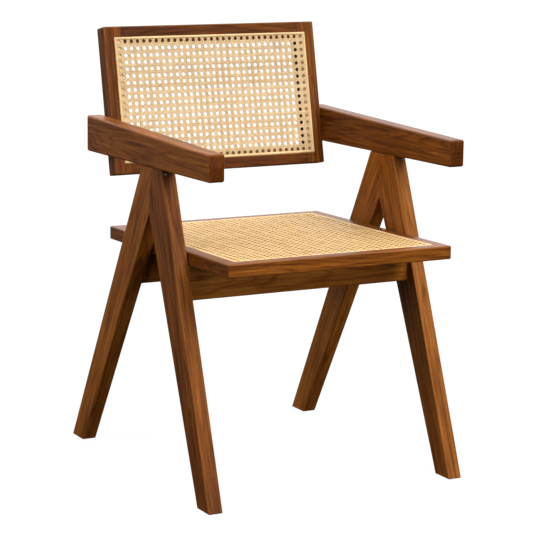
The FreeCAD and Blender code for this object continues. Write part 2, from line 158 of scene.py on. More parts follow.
def make_piece(name, grids, marks, material, nodes, ring=False):
    """One mesh of several closed skins, standing for CAD nodes. marks are values kept on every point."""
    quads, caps, first = [], [], 0
    for grid in grids:
        sides, ends = faces_of(grid, first, ring)
        quads.append(sides)
        caps.extend(ends)
        first += grid.shape[0] * grid.shape[1]
    quads = np.concatenate(quads)
    corner_list = np.concatenate([quads.ravel(), *caps])
    totals = np.concatenate([np.full(len(quads), 4), [len(cap) for cap in caps]]).astype(int)
    mesh = bpy.data.meshes.new(name)
    mesh.vertices.add(first)
    mesh.vertices.foreach_set("co", np.concatenate([g.ravel() for g in grids]).astype(np.float32))
    mesh.loops.add(len(corner_list))
    mesh.loops.foreach_set("vertex_index", corner_list.astype(np.int32))
    mesh.polygons.add(len(totals))
    mesh.polygons.foreach_set("loop_start", (np.cumsum(totals) - totals).astype(np.int32))
    mesh.polygons.foreach_set("use_smooth", np.ones(len(totals), bool))
    for mark, values in marks.items():
        values = np.concatenate([v.reshape(-1, 3) if v.ndim == 3 else v.ravel() for v in values])
        kind, field = ("FLOAT_VECTOR", "vector") if values.ndim == 2 else ("FLOAT", "value")
        layer = mesh.attributes.new(mark, kind, "POINT")
        layer.data.foreach_set(field, values.astype(np.float32).ravel())
    mesh.update(calc_edges=True)
    mesh.set_sharp_from_angle(angle=crease)
    mesh.materials.append(material)
    piece = bpy.data.objects.new(name, mesh)
    bpy.context.scene.collection.objects.link(piece)
    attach(piece, "root")
    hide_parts(*nodes)


def add_node(tree, kind, values=None, **settings):
    """A shader node with its settings and its unlinked inputs."""
    made = tree.nodes.new(kind)
    for key, value in settings.items():
        setattr(made, key, value)
    for key, value in (values or {}).items():
        made.inputs[key].default_value = value
    return made


def ramp_node(tree, factor, stops):
    """A colour ramp over (place, colour) stops, fed by a factor."""
    made = add_node(tree, "ShaderNodeValToRGB")
    elements = made.color_ramp.elements
    while len(elements) < len(stops):
        elements.new(0.5)
    for element, (place, colour) in zip(elements, stops):
        element.position = place
        element.color = (*colour, 1.0)
    tree.links.new(factor, made.inputs["Fac"])
    return made.outputs["Color"]


def math_node(tree, operation, first, second):
    """One sum on two values, each a socket or a plain number."""
    made = add_node(tree, "ShaderNodeMath", operation=operation)
    for socket, value in zip(made.inputs, (first, second)):
        if isinstance(value, bpy.types.NodeSocket):
            tree.links.new(value, socket)
        else:
            socket.default_value = value
    return made.outputs["Value"]


def mixed_colour(tree, blend, factor, first, second):
    """Two colours mixed by a factor, each a socket or a plain value."""
    made = add_node(tree, "ShaderNodeMix", data_type="RGBA", blend_type=blend)
    for name, value in (("Factor_Float", factor), ("A_Color", first), ("B_Color", second)):
        socket = next(s for s in made.inputs if s.identifier == name)
        if isinstance(value, bpy.types.NodeSocket):
            tree.links.new(value, socket)
        elif name == "Factor_Float":
            socket.default_value = value
        else:
            socket.default_value = (*value, 1.0)
    return next(s for s in made.outputs if s.identifier == "Result_Color")


def noise_node(tree, vector, scale, detail, roughness, distortion=0.0):
    """A noise pattern's value over a vector."""
    values = {"Scale": scale, "Detail": detail, "Roughness": roughness, "Distortion": distortion}
    made = add_node(tree, "ShaderNodeTexNoise", values)
    tree.links.new(vector, made.inputs["Vector"])
    return made.outputs["Fac"]


def stretched(tree, vector, along):
    """A vector whose first part, along the grain, is drawn out by a share under 1."""
    made = add_node(tree, "ShaderNodeVectorMath", operation="MULTIPLY")
    made.inputs[1].default_value = (along, 1.0, 1.0)
    tree.links.new(vector, made.inputs[0])
    return made.outputs["Vector"]


def graded(tree, value, span, result):
    """A value carried in step from one span, (low, high), to another, and held at its ends."""
    values = {"From Min": span[0], "From Max": span[1], "To Min": result[0], "To Max": result[1]}
    made = add_node(tree, "ShaderNodeMapRange", values)
    tree.links.new(value, made.inputs["Value"])
    return made.outputs["Result"]


def add_bump(tree, shader, height, strength, distance):
    """Fine relief from a height, on the shader's normal."""
    bump = add_node(tree, "ShaderNodeBump", {"Strength": strength, "Distance": distance})
    tree.links.new(height, bump.inputs["Height"])
    tree.links.new(bump.outputs["Normal"], shader.inputs["Normal"])


def mark_node(tree, mark, output):
    """A value that the mesh keeps on its points."""
    made = add_node(tree, "ShaderNodeAttribute", attribute_type="GEOMETRY", attribute_name=mark)
    return made.outputs[output]


def new_material(name):
    """An empty node material with its main shader, which the caller fills in."""
    material = bpy.data.materials.new(name)
    material.use_nodes = True
    tree = material.node_tree
    shader = next(n for n in tree.nodes if n.type == "BSDF_PRINCIPLED")
    return material, tree, shader


def stained_hardwood():
    """Walnut-brown stain under a satin varnish, over growth lines, streaks, fibres and open pores.

    The grain mark is a place in the log: along the board, and across it, in metres. The growth lines are
    level lines of a slow noise that is drawn out along the grain: its value times a count, folded to and
    fro between 0 and 1, is dark near 0.
    """
    ring_count = 40.0
    pore_stain, pore_depth = 0.65, 0.6
    arris_wear = 0.22
    worn_colour, soaked_tint = (0.30, 0.125, 0.035), (0.50, 0.37, 0.12)
    material, tree, shader = new_material("stained_hardwood")
    grain = mark_node(tree, "grain", "Vector")
    slow = noise_node(
        tree, stretched(tree, grain, along=0.09), scale=15.0, detail=2.0, roughness=0.45, distortion=0.3)
    folded = math_node(tree, "PINGPONG", math_node(tree, "MULTIPLY", slow, ring_count), 1.0)
    late_wood = graded(tree, folded, (0.0, 0.40), (-0.09, 0.0))
    streaks = noise_node(
        tree, stretched(tree, grain, along=0.05), scale=150.0, detail=5.0, roughness=0.6, distortion=0.2)
    fibres = noise_node(tree, stretched(tree, grain, along=0.02), scale=520.0, detail=3.0, roughness=0.6)
    mottle = noise_node(tree, stretched(tree, grain, along=0.22), scale=16.0, detail=3.0, roughness=0.5)
    pores = noise_node(tree, stretched(tree, grain, along=0.035), scale=1500.0, detail=1.0, roughness=0.5)
    tone = math_node(tree, "ADD", late_wood, mark_node(tree, "tone", "Fac"))
    for value, share in ((streaks, 0.45), (fibres, 0.25), (mottle, 0.26)):
        tone = math_node(tree, "ADD", tone, math_node(tree, "MULTIPLY", value, share))
    colour = ramp_node(tree, tone, [
        (0.28, (0.034, 0.0080, 0.0007)),
        (0.42, (0.095, 0.0255, 0.0022)),
        (0.52, (0.175, 0.0510, 0.0048)),
        (0.68, (0.310, 0.1080, 0.0140)),
    ])
    open_pores = ramp_node(tree, pores, [(0.30, (0.38, 0.34, 0.30)), (0.42, (1.0, 1.0, 1.0))])
    colour = mixed_colour(tree, "MULTIPLY", pore_stain, colour, open_pores)
    worn = mixed_colour(tree, "MIX", arris_wear, colour, worn_colour)
    colour = mixed_colour(tree, "MIX", mark_node(tree, "arris", "Fac"), colour, worn)
    soaked = mixed_colour(tree, "MULTIPLY", 1.0, colour, soaked_tint)
    colour = mixed_colour(tree, "MIX", mark_node(tree, "end_grain", "Fac"), colour, soaked)
    raw = ramp_node(tree, tone, [(0.28, (0.46, 0.290, 0.120)), (0.68, (0.66, 0.480, 0.270))])
    # Unstained wood on the back's ledges, its share per member set partly as painted light and shade.
    colour = mixed_colour(tree, "MIX", mark_node(tree, "bare_where_lit", "Fac"), colour, raw)
    tree.links.new(colour, shader.inputs["Base Color"])
    tree.links.new(graded(tree, streaks, (0.0, 1.0), (0.38, 0.54)), shader.inputs["Roughness"])
    shader.inputs["Specular IOR Level"].default_value = 0.09
    relief = math_node(tree, "ADD", math_node(tree, "MULTIPLY", pores, pore_depth), fibres)
    add_bump(tree, shader, relief, strength=0.22, distance=0.0004)
    return material


frame_wood = stained_hardwood()


def grain_marks(grid, along, across):
    """Each point's place along and across the log, at the board's own height and side of the pith."""
    along = unit(np.asarray(along, float))
    across = np.asarray(across, float) - along * np.dot(along, across)
    axes = np.stack([along, unit(across), np.cross(along, unit(across))])
    place = (grid - grid.reshape(-1, 3).mean(axis=0)) @ axes.T
    angle = rng.uniform(0, 2 * np.pi)
    radius = rng.uniform(pith_near, pith_far)
    height = rng.uniform(-log_reach, log_reach)
    return place + np.array([height, radius * np.cos(angle), radius * np.sin(angle)])


def wooden_piece(name, bar, along, across, node, tone=0.0, bare_where_lit=None):
    """A piece of the frame from its grid, with the marks its wood reads. The last argument says where no
    stain is, partly as painted light and shade.
    """
    grid, arris, end_grain = bar
    marks = {
        "grain": [grain_marks(grid, along, across)],
        "arris": [arris],
        "end_grain": [end_grain],
        "tone": [np.full(grid.shape[:2], tone + rng.uniform(-tone_spread, tone_spread))],
        "bare_where_lit": [np.zeros(grid.shape[:2]) if bare_where_lit is None else bare_where_lit],
    }
    make_piece(name, [grid], marks, frame_wood, [node])


def arm_underside(y):
    """Height of the arms' straight lower edge at a place along the chair."""
    share = (y - arm_low.y) / (arm_high.y - arm_low.y)
    front = arm_front_top - arm_front_depth
    return front + (arm_low.z - front) * share


apex_height = arm_underside(apex_y)


def leg_inner_face(z):
    """Distance of a leg's inner face from the middle of the chair at a height."""
    return half_width + leg_splay * (apex_height - z) / apex_height


def leg_sections(foot_y, end):
    """Sections of a right-hand leg: foot, under the crotch, over it, and under the arm.

    end is -1 for the front leg and 1 for the rear leg. Each section has the outer edge's two corners,
    then the inner edge's two.
    """
    top_y = apex_y + end * apex_width / 2
    outer_foot, outer_top = np.array([foot_y, 0.0]), np.array([top_y, arm_underside(top_y)])
    lean = math.atan2(abs(top_y - foot_y), outer_top[1])
    inner_foot = np.array([foot_y - end * leg_foot_width / math.cos(lean), 0.0])
    crotch = np.array([apex_y + crotch_offset, apex_height - crotch_drop])
    mitre_top = np.array([apex_y, apex_height])
    share = crotch[1] / outer_top[1]
    beside_crotch = outer_foot + (outer_top - outer_foot) * share
    above = mitre_start / crotch_drop
    over_crotch = crotch + (mitre_top - crotch) * above
    beside_mitre = beside_crotch + (outer_top - beside_crotch) * above
    pairs = [
        (outer_foot, inner_foot), (beside_crotch, crotch),
        (beside_mitre, over_crotch), (outer_top, mitre_top),
    ]
    sections = []
    for outer, inner in pairs:
        x_outer, x_inner = leg_inner_face(outer[1]), leg_inner_face(inner[1])
        sections.append([
            (x_outer + leg_thickness, *outer), (x_outer, *outer),
            (x_inner, *inner), (x_inner + leg_thickness, *inner),
        ])
    inner_radii = [leg_arris, leg_arris, mitre_arris, mitre_arris]
    radii = [(leg_arris, leg_arris, r, r) for r in inner_radii]
    return np.array(sections), radii


for side, sign in (("left", -1.0), ("right", 1.0)):
    for place, foot_y, end in (("front", toe_y, -1), ("rear", heel_y, 1)):
        sections, radii = leg_sections(foot_y, end)
        sections = sections * (sign, 1.0, 1.0)
        bar = eased_bar(sections, radii, (foot_arris, mitre_arris))
        along = sections[-1].mean(axis=0) - sections[0].mean(axis=0)
        node = f"{side}_{place}_leg"
        wooden_piece(node + "_board", bar, along, (1.0, 0.0, 0.0), node, leg_tones[f"{side}_{place}"])

# Stretchers and corner blocks
# Two upright boards under the seat tie the A frames together with a tenon in each leg. A tapered
# three-sided block is glued into the corner of each rear leg and the rear stretcher.
seat_slope = math.radians(1.0)
seat_front_y = -0.294
seat_front_height = 0.435
seat_thickness = 0.0245
stretcher_height = 0.063
stretcher_arris = 0.002
# The stretchers' stain is made lighter than the rest: painted light, standing in for light under the seat.
stretcher_painted_light = 0.13
butt_arris = 0.0004
block_drop = 0.005           # below the seat frame
block_height = 0.048
block_top_leg = 0.029
block_bottom_leg = 0.0165


def seat_underside(y):
    """Height of the seat frame's lower face at a place along the chair."""
    top = seat_front_height - (y - seat_front_y) * math.tan(seat_slope)
    return top - seat_thickness / math.cos(seat_slope)


for place in ("front", "rear"):
    node = place + "_stretcher"
    low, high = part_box(node)
    z_low = seat_underside(low.y) - stretcher_height
    outline = [
        (low.y, z_low), (high.y, z_low),
        (high.y, seat_underside(high.y)), (low.y, seat_underside(low.y)),
    ]
    sections = np.array([[(end * leg_inner_face(z), y, z) for y, z in outline] for end in (-1.0, 1.0)])
    radii = [(stretcher_arris, stretcher_arris, butt_arris, butt_arris)] * 2
    bar = eased_bar(sections, radii, (least_radius, least_radius))
    wooden_piece(node + "_board", bar, (1.0, 0.0, 0.0), (0.0, 0.0, 1.0), node, stretcher_painted_light)

block_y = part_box("rear_stretcher")[0].y
block_top = seat_underside(block_y) - block_drop
for side, sign in (("left", -1.0), ("right", 1.0)):
    sections = []
    for z, leg in ((block_top - block_height, block_bottom_leg), (block_top, block_top_leg)):
        x = leg_inner_face(z)
        sections.append([
            (sign * x, block_y, z), (sign * (x - leg), block_y, z), (sign * x, block_y - leg, z),
        ])
    bar = eased_bar(sections, [(butt_arris,) * 3] * 2, (butt_arris, butt_arris))
    node = side + "_corner_block"
    wooden_piece(node + "_wedge", bar, (0.0, 0.0, 1.0), (1.0, 1.0, 0.0), node)

# Seat frame
# Four hardwood rails mitred at the corners, with a tongue across each mitre, lie on the stretchers. A
# groove round the top holds the cane's spline, and inside it a shallow ledge lets the cane lie flush.
seat_depth = 0.489
seat_rail_width = 0.045
seat_border = 0.024          # plain wood outside the groove
seat_edge_arris = 0.0025
seat_corner_radius = 0.003
groove_lip = 0.0010          # rounding of the groove's outer lip
groove_width = 0.0056
groove_depth = 0.007
cane_thickness = 0.002
corner_turn = np.linspace(0.0, np.pi / 4, 4)


def panel_frame(origin, lean):
    """A panel's place: the middle of its first edge, and its axes across, along and out of its face."""
    along, rise = math.cos(lean), math.sin(lean)
    axes = np.array([(1.0, 0.0, 0.0), (0.0, along, rise), (0.0, -rise, along)])
    return np.array(origin), axes


def on_panel(panel, points):
    """Carries points from a panel's own flat layout to their place on the chair."""
    origin, axes = panel
    return origin + points @ axes


def rail_profile(width, thickness, border, arris):
    """A rail's section, as depth from its outer edge and height: round outside, grooved and ledged inside.

    It is the middle section of a straight bar with these corners and rounded arrises.
    """
    inner = border + groove_width
    corners = [
        (0.0, 0.0), (border, 0.0), (border, -groove_depth), (inner, -groove_depth),
        (inner, -cane_thickness), (width, -cane_thickness), (width, -thickness), (0.0, -thickness),
    ]
    radii = [arris, groove_lip, least_radius, least_radius, least_radius, butt_arris, butt_arris, arris]
    flat = np.array([[(x, depth, height) for depth, height in corners] for x in (0.0, 1.0)])
    grid, rounding, _ = eased_bar(flat, [radii] * 2, (least_radius, least_radius))
    middle = len(grid) // 2
    return grid[middle, :, 1:], rounding[middle]


def mitred_rail(profile, length, corner):
    """A profile carried along a straight rail to a mitre at each end, with the frame's corner rounded.

    Near an end, a point at depth d less than the corner's radius R runs round an arc of radius R - d
    about the corner's centre as far as the mitre, and a deeper point runs straight on to it.
    """
    depth, height = profile.T
    turn = corner_turn[:, None]
    near = np.maximum(corner - depth, 0.0)
    x_arc, d_arc = length / 2 - corner + near * np.sin(turn), corner - near * np.cos(turn)
    x_straight = length / 2 - depth - corner * (1 - turn / corner_turn[-1])
    x = np.where(depth < corner, x_arc, x_straight)
    d = np.where(depth < corner, d_arc, depth)
    right = np.stack([x, d, np.broadcast_to(height, x.shape)], axis=-1)
    left = right[::-1] * (-1.0, 1.0, 1.0)
    return np.concatenate([left, right])


seat_panel = panel_frame((0.0, seat_front_y, seat_front_height), -seat_slope)
seat_profile, seat_rounding = rail_profile(seat_rail_width, seat_thickness, seat_border, seat_edge_arris)
quarter = np.array([(0.0, 1.0, 0.0), (-1.0, 0.0, 0.0), (0.0, 0.0, 1.0)])
# each rail's node, length, quarter turns, outer edge's middle and tone
seat_rails = [
    ("seat_front_rail", 2 * half_width, 0, (0.0, 0.0, 0.0), 0.02),
    ("seat_right_rail", seat_depth, 1, (half_width, seat_depth / 2, 0.0), 0.0),
    ("seat_rear_rail", 2 * half_width, 2, (0.0, seat_depth, 0.0), 0.0),
    ("seat_left_rail", seat_depth, 3, (-half_width, seat_depth / 2, 0.0), 0.0),
]
for node, length, turns, middle, tone in seat_rails:
    turned = np.linalg.matrix_power(quarter, turns)
    flat = mitred_rail(seat_profile, length, seat_corner_radius) @ turned + middle
    grid = on_panel(seat_panel, flat)
    arris = np.tile(seat_rounding, (len(grid), 1))
    along, across = turned[0] @ seat_panel[1], turned[1] @ seat_panel[1]
    wooden_piece(node + "_bar", (grid, arris, np.zeros_like(arris)), along, across, node, tone)

# Seat cane
# A sheet of rattan cane woven in the six-way pattern: pairs upright, pairs across, and one strand
# along each diagonal, with eight-sided holes. Its rim is pressed into the groove under the spline.
hole_pitch = 0.01298
pair_reach = 0.00165         # each strand of a pair from the pair's middle
strand_width = 0.0027
diagonal_width = 0.0023
strand_thickness = 0.0013
weave_rise = 0.00015         # of a pair's strand over and under the pair across it
diagonal_rise = 0.00025
rim_reach = 0.0010           # from the groove's inner wall out to the turned-down rim
rim_drop = 0.0050
rim_bend = 0.2               # the rim's turn takes up this share of its drop
diagonal_step = hole_pitch * math.sqrt(2) / 6
shortest_diagonal = 0.006
cane_middle = -0.0010        # of the sheet, below the frame's face
strand_tones = 0.10          # spread from strand to strand
cane_run = 40.0              # metres of cane that the strands are cut from
fibre_depth = 9.0            # and how far apart in the pattern their fibres may lie
strand_section = np.array([
    (-1.0, 0.25), (-0.8, 0.45), (0.8, 0.45), (1.0, 0.25), (0.95, -0.45), (-0.95, -0.45),
])                           # half widths across, and thicknesses up
strand_skin = np.array([0.1, 1.0, 1.0, 0.1, 0.0, 0.0])    # bark on top, darkened pith below: painted shade


def strand(path, heading, width):
    """A flat strand with eased upper edges: a six-sided section carried along a path, square to it."""
    across = np.cross((0.0, 0.0, 1.0), heading)
    tangent = unit(np.gradient(path, axis=0))
    up = np.cross(tangent, across)
    side, rise = strand_section.T[:, None, :, None]
    return path[:, None] + across * side * width / 2 + up[:, None] * rise * strand_thickness


def turned_down(path, heading):
    """A path whose two ends turn down into the spline's groove."""
    out, down = np.asarray(heading) * rim_reach, np.array([0.0, 0.0, -rim_drop])
    start, end = path[0] - out, path[-1] + out
    bend = down * rim_bend
    return np.concatenate([[start + down, start + bend], path, [end + bend, end + down]])


def pair_paths(low, high, first_hole, cross_low, cross_high, first_cross):
    """Straight strands in pairs, between the holes, over and under the pairs that cross them.

    Returns (place across, path along and height) for each strand. At a crossing pair the height is the
    rise times sin(pi d / 2e), with d the distance from the pair's middle and e the reach of its strands.
    """
    middles = np.arange(first_hole - hole_pitch / 2, high + hole_pitch, hole_pitch)
    crossings = np.arange(first_cross - hole_pitch / 2, cross_high + hole_pitch, hole_pitch)
    offsets = np.array([-2.0, -1.0, 1.0, 2.0]) * pair_reach
    stops = np.concatenate([(crossings[:, None] + offsets).ravel(), crossings + hole_pitch / 2])
    stops = np.sort(np.append(stops[(stops > cross_low) & (stops < cross_high)], [cross_low, cross_high]))
    from_pair = (stops - crossings[0] + hole_pitch / 2) % hole_pitch - hole_pitch / 2
    wave = np.where(np.abs(from_pair) <= 2 * pair_reach, np.sin(np.pi * from_pair / (2 * pair_reach)), 0.0)
    strands = []
    for middle in middles:
        for member in (-1.0, 1.0):
            place = middle + member * pair_reach
            if low < place < high:
                strands.append((place, stops, member * weave_rise * wave))
    return strands


def diagonal_paths(low_u, high_u, low_v, high_v, first_u, first_v, way):
    """Diagonal strands that cut the corners between the pairs.

    way is 1 where a strand rises to the right and -1 where it falls. It lies on v = way u + c, half a pitch
    off the holes, and its height is the rise times cos(2 pi u / pitch): over one pair and under the next.
    """
    reach = (high_u - low_u) + (high_v - low_v)
    count = math.ceil(reach / hole_pitch)
    base = first_v - way * first_u + hole_pitch / 2
    paths = []
    for c in base + hole_pitch * np.arange(-count, count + 1):
        ends = np.sort([(low_v - c) / way, (high_v - c) / way])
        start, end = max(low_u, ends[0]), min(high_u, ends[1])
        if end - start > shortest_diagonal:
            u = np.linspace(start, end, max(3, math.ceil((end - start) * math.sqrt(2) / diagonal_step)))
            rise = -way * diagonal_rise * np.cos(2 * np.pi * (u - first_u - hole_pitch / 2) / hole_pitch)
            paths.append(np.stack([u, way * u + c, cane_middle + rise], axis=-1))
    return paths


def rattan_cane(name, tint):
    """Rattan bark: pale straw with long fibres, strands of slightly different tone, and below, pith
    darkened into painted shade.
    """
    pith_shade_tint = (0.10, 0.062, 0.034)
    material, tree, shader = new_material(name)
    fibre = mark_node(tree, "fibre", "Vector")
    lines = noise_node(tree, stretched(tree, fibre, along=0.03), scale=2600.0, detail=2.0, roughness=0.6)
    patches = noise_node(tree, stretched(tree, fibre, along=0.4), scale=55.0, detail=3.0, roughness=0.55)
    value = mark_node(tree, "tone", "Fac")
    for part, share in ((lines, 0.35), (patches, 0.55)):
        value = math_node(tree, "ADD", value, math_node(tree, "MULTIPLY", part, share))
    colour = ramp_node(tree, value, [(place, tuple(np.multiply(shade, tint))) for place, shade in (
        (0.20, (0.30, 0.170, 0.066)),
        (0.42, (0.51, 0.335, 0.160)),
        (0.62, (0.63, 0.450, 0.235)),
        (0.85, (0.74, 0.575, 0.350)),
    )])
    # Edges and undersides take the pith colour darkened far past real pith: painted shade in the holes.
    pith_and_shade = mixed_colour(tree, "MULTIPLY", 1.0, colour, pith_shade_tint)
    colour = mixed_colour(tree, "MIX", mark_node(tree, "bark", "Fac"), pith_and_shade, colour)
    tree.links.new(colour, shader.inputs["Base Color"])
    shader.inputs["Roughness"].default_value = 0.5
    shader.inputs["Specular IOR Level"].default_value = 0.03
    add_bump(tree, shader, lines, strength=0.25, distance=0.0002)
    return material


def cane_piece(name, panel, paths, heading, width, node, material, least_unshaded_bark):
    """Strands of one kind laid on a panel, each with its own tone and its own stretch of fibre.

    The last argument: least bark colour on the strands' edges and undersides; the rest is painted shade.
    """
    grids, tones, fibres, barks = [], [], [], []
    for path in paths:
        grid = strand(turned_down(path, heading), heading, width)
        length = np.cumsum(np.full(len(grid), np.linalg.norm(path[-1] - path[0]) / len(grid)))
        grids.append(on_panel(panel, grid))
        tones.append(np.full(grid.shape[:2], rng.uniform(-strand_tones, strand_tones)))
        span = np.broadcast_to(length[:, None] + rng.uniform(0, cane_run), grid.shape[:2])
        side = np.broadcast_to(strand_section[:, 0] * width / 2, grid.shape[:2])
        depth = np.full(grid.shape[:2], rng.uniform(0, fibre_depth))
        fibres.append(np.stack([span, side, depth], axis=-1))
        barks.append(np.tile(np.maximum(strand_skin, least_unshaded_bark), (len(grid), 1)))
    marks = {"tone": tones, "fibre": fibres, "bark": barks}
    make_piece(name, grids, marks, material, [node])


def weave(name, panel, width, length, border, first_u, first_v, material, least_unshaded_bark):
    """The whole sheet of one panel: uprights, crossers and both diagonals, from one groove to the other."""
    edge = border + groove_width
    low_u, high_u, low_v, high_v = edge - width / 2, width / 2 - edge, edge, length - edge
    uprights = [np.stack([np.full_like(v, u), v, cane_middle + w], axis=-1)
                for u, v, w in pair_paths(low_u, high_u, first_u, low_v, high_v, first_v)]
    crossers = [np.stack([u, np.full_like(u, v), cane_middle - w], axis=-1)
                for v, u, w in pair_paths(low_v, high_v, first_v, low_u, high_u, first_u)]
    kinds = [
        ("uprights", uprights, (0.0, 1.0, 0.0), strand_width),
        ("crossers", crossers, (1.0, 0.0, 0.0), strand_width),
    ]
    for way, word in ((1, "rising"), (-1, "falling")):
        paths = diagonal_paths(low_u, high_u, low_v, high_v, first_u, first_v, way)
        kinds.append((word + "_diagonals", paths, unit(np.array([1.0, way, 0.0])), diagonal_width))
    for kind, paths, heading, broad in kinds:
        cane_piece(f"{name}_{kind}", panel, paths, heading, broad, name, material, least_unshaded_bark)


seat_first_u = -14.5 * hole_pitch                     # a column of holes at the left
seat_first_v = seat_depth / 2 - 16.13 * hole_pitch    # and a row at the front
# The seat's strands keep no bark colour at their edges and undersides, all painted shade, so its holes read
# dark.
seat_least_unshaded_bark = 0.0
seat_bark = rattan_cane("seat_cane_bark", tint=(1.02, 0.98, 0.90))
weave("seat_cane", seat_panel, 2 * half_width, seat_depth, seat_border,
      seat_first_u, seat_first_v, seat_bark, seat_least_unshaded_bark)

# Seat spline
# A wedge of peeled reed, glued and tapped into the groove all round, grips the rim of the cane. Its
# crown stands a little above the wood, and its corners are mitred.
spline_fit = 0.0001          # clearance to the cane's rim
spline_gap = 0.0004          # and to the groove's outer wall
spline_crown = 0.0007
crown_gap = 0.0002           # between the crown and the groove's inner lip
spline_steps = 24            # points along each side
crown_turn = np.linspace(0.0, np.pi, 9)


def reed():
    """Peeled reed: honey straw with fine lines along it and a waxy shine."""
    material, tree, shader = new_material("reed")
    fibre = mark_node(tree, "fibre", "Vector")
    lines = noise_node(tree, stretched(tree, fibre, along=0.02), scale=2200.0, detail=3.0, roughness=0.6)
    patches = noise_node(tree, fibre, scale=18.0, detail=2.0, roughness=0.5)
    shares = [math_node(tree, "MULTIPLY", part, share) for part, share in ((lines, 0.6), (patches, 0.5))]
    value = math_node(tree, "ADD", *shares)
    colour = ramp_node(tree, value, [
        (0.30, (0.38, 0.235, 0.105)),
        (0.55, (0.55, 0.375, 0.185)),
        (0.80, (0.65, 0.485, 0.280)),
    ])
    tree.links.new(colour, shader.inputs["Base Color"])
    shader.inputs["Roughness"].default_value = 0.5
    shader.inputs["Specular IOR Level"].default_value = 0.2
    add_bump(tree, shader, lines, strength=0.2, distance=0.0002)
    return material


reed_bark = reed()


def spline_ring(name, panel, width, length, border, node):
    """A domed section carried round a rectangle, with each point's rectangle set in by its own depth.

    The section is half an ellipse, which laps over the cane's rim, on top of a tongue beside the cane. At
    turn t its depth is middle - half cos t, and its height is the crown times (2 sin t - 1).
    """
    outer, inner = border + spline_gap, border + groove_width - cane_thickness - spline_fit
    crown_inner = border + groove_width - crown_gap
    middle, half = (outer + crown_inner) / 2, (crown_inner - outer) / 2
    depth = np.concatenate([middle - half * np.cos(crown_turn), [inner, outer]])
    height = np.concatenate([spline_crown * (2 * np.sin(crown_turn) - 1), [-groove_depth, -groove_depth]])
    share = np.linspace(0.0, 1.0, spline_steps, endpoint=False)[:, None]
    right, far = width / 2 - depth, length - depth
    level = np.broadcast_to(height, (spline_steps, len(height)))
    corners = [(-right, depth), (right, depth), (right, far), (-right, far)]
    rows = [
        np.stack([u0 + (u1 - u0) * share, v0 + (v1 - v0) * share, level], axis=-1)
        for (u0, v0), (u1, v1) in zip(corners, corners[1:] + corners[:1])
    ]
    flat = np.concatenate(rows)
    run = np.linspace(0.0, 2 * (width + length), len(flat))[:, None] + np.zeros(len(depth))
    fibre = np.stack([run, np.broadcast_to(depth, run.shape), np.broadcast_to(height, run.shape)], axis=-1)
    ring = on_panel(panel, flat)
    make_piece(name, [ring], {"fibre": [fibre]}, reed_bark, [node], ring=True)


spline_ring("seat_spline_reed", seat_panel, 2 * half_width, seat_depth, seat_border, "seat_spline")

# Back frame
# Two upright stiles with a rail doweled between them at the top and the bottom, leaning to the rear
# between the arms. The groove and the ledge for the cane run round its front face.
back_thickness = 0.031
back_tilt = math.radians(11.9)
back_member_width = 0.035
back_border = 0.020          # plain wood outside the groove
back_arris = 0.0025
back_inset = 0.0645          # front lower edge ahead of the arms' rear ends
back_below_arm = 0.0395
back_top_height = 0.800
least_step = 0.00002         # of the ledge below the border where there is no drop
hidden_arris = least_step / 3    # where no arris shows
ledge_start = 0.0002         # length over which a stile's ledge drops
ledge_match = 0.0003         # how near the ledge's own depth a point on it lies
back_foot = np.array([0.0, arm_high.y - back_inset, arm_low.z - back_below_arm])
back_height = (back_top_height - back_foot[2]) / math.cos(back_tilt)
back_panel = panel_frame(back_foot, math.pi / 2 - back_tilt)


def grooved_member(starts, ends, drops, inward, width):
    """Sections of a straight member whose ledge lies lower than its border by a drop, set at each place.

    starts and ends are (u, v) on its outer edge, and inward is the way to the panel's middle.
    """
    sections = []
    for place, drop in drops:
        u, v = np.array(starts) + (np.array(ends) - np.array(starts)) * place
        ledge = -drop - least_step
        outline = [
            (0.0, 0.0), (back_border, 0.0), (back_border, ledge),
            (width, ledge), (width, -back_thickness), (0.0, -back_thickness),
        ]
        sections.append([(u + inward[0] * a, v + inward[1] * a, w) for a, w in outline])
    return np.array(sections)


rail_drops = [(0.0, cane_thickness), (1.0, cane_thickness)]
edge_share = back_border / back_height
start_share = ledge_start / back_height
stile_drops = [
    (0.0, 0.0), (edge_share, 0.0), (edge_share + start_share, cane_thickness),
    (1 - edge_share - start_share, cane_thickness), (1 - edge_share, 0.0), (1.0, 0.0),
]
joint = half_width - back_member_width
opening = np.array([half_width, back_height / 2]) - back_border + ledge_match
# each member's node, outer edge from end to end, drops, way inwards, end rounding, tone and unstained
# share, partly painted light and shade
back_members = [
    ("back_left_stile", (-half_width, 0.0), (-half_width, back_height),
     stile_drops, (1.0, 0.0), back_arris, -0.025, 1.0),
    ("back_right_stile", (half_width, 0.0), (half_width, back_height),
     stile_drops, (-1.0, 0.0), back_arris, -0.005, 0.35),
    ("back_bottom_rail", (-joint, 0.0), (joint, 0.0),
     rail_drops, (0.0, 1.0), least_radius, -0.085, 0.10),
    ("back_top_rail", (-joint, back_height), (joint, back_height),
     rail_drops, (0.0, -1.0), least_radius, -0.09, 0.0),
]
for node, start, end, drops, inward, ease, tone, bare_where_lit_share in back_members:
    sections = grooved_member(start, end, drops, inward, back_member_width)
    lips = [groove_lip if drop else hidden_arris for _, drop in drops]
    radii = [(back_arris, lip, hidden_arris, hidden_arris, butt_arris, back_arris) for lip in lips]
    grid, arris, end_grain = eased_bar(sections, radii, (ease, ease))
    along = np.append(np.array(end) - np.array(start), 0.0) @ back_panel[1]
    across = np.append(inward, 0.0) @ back_panel[1]
    from_middle = np.abs(grid[:, :, :2] - (0.0, back_height / 2))
    inside = np.all(from_middle < opening, axis=-1)
    on_ledge = inside & (np.abs(grid[:, :, 2] + cane_thickness) < ledge_match)
    bar = (on_panel(back_panel, grid), arris, end_grain)
    wooden_piece(node + "_bar", bar, along, across, node, tone, bare_where_lit_share * on_ledge)

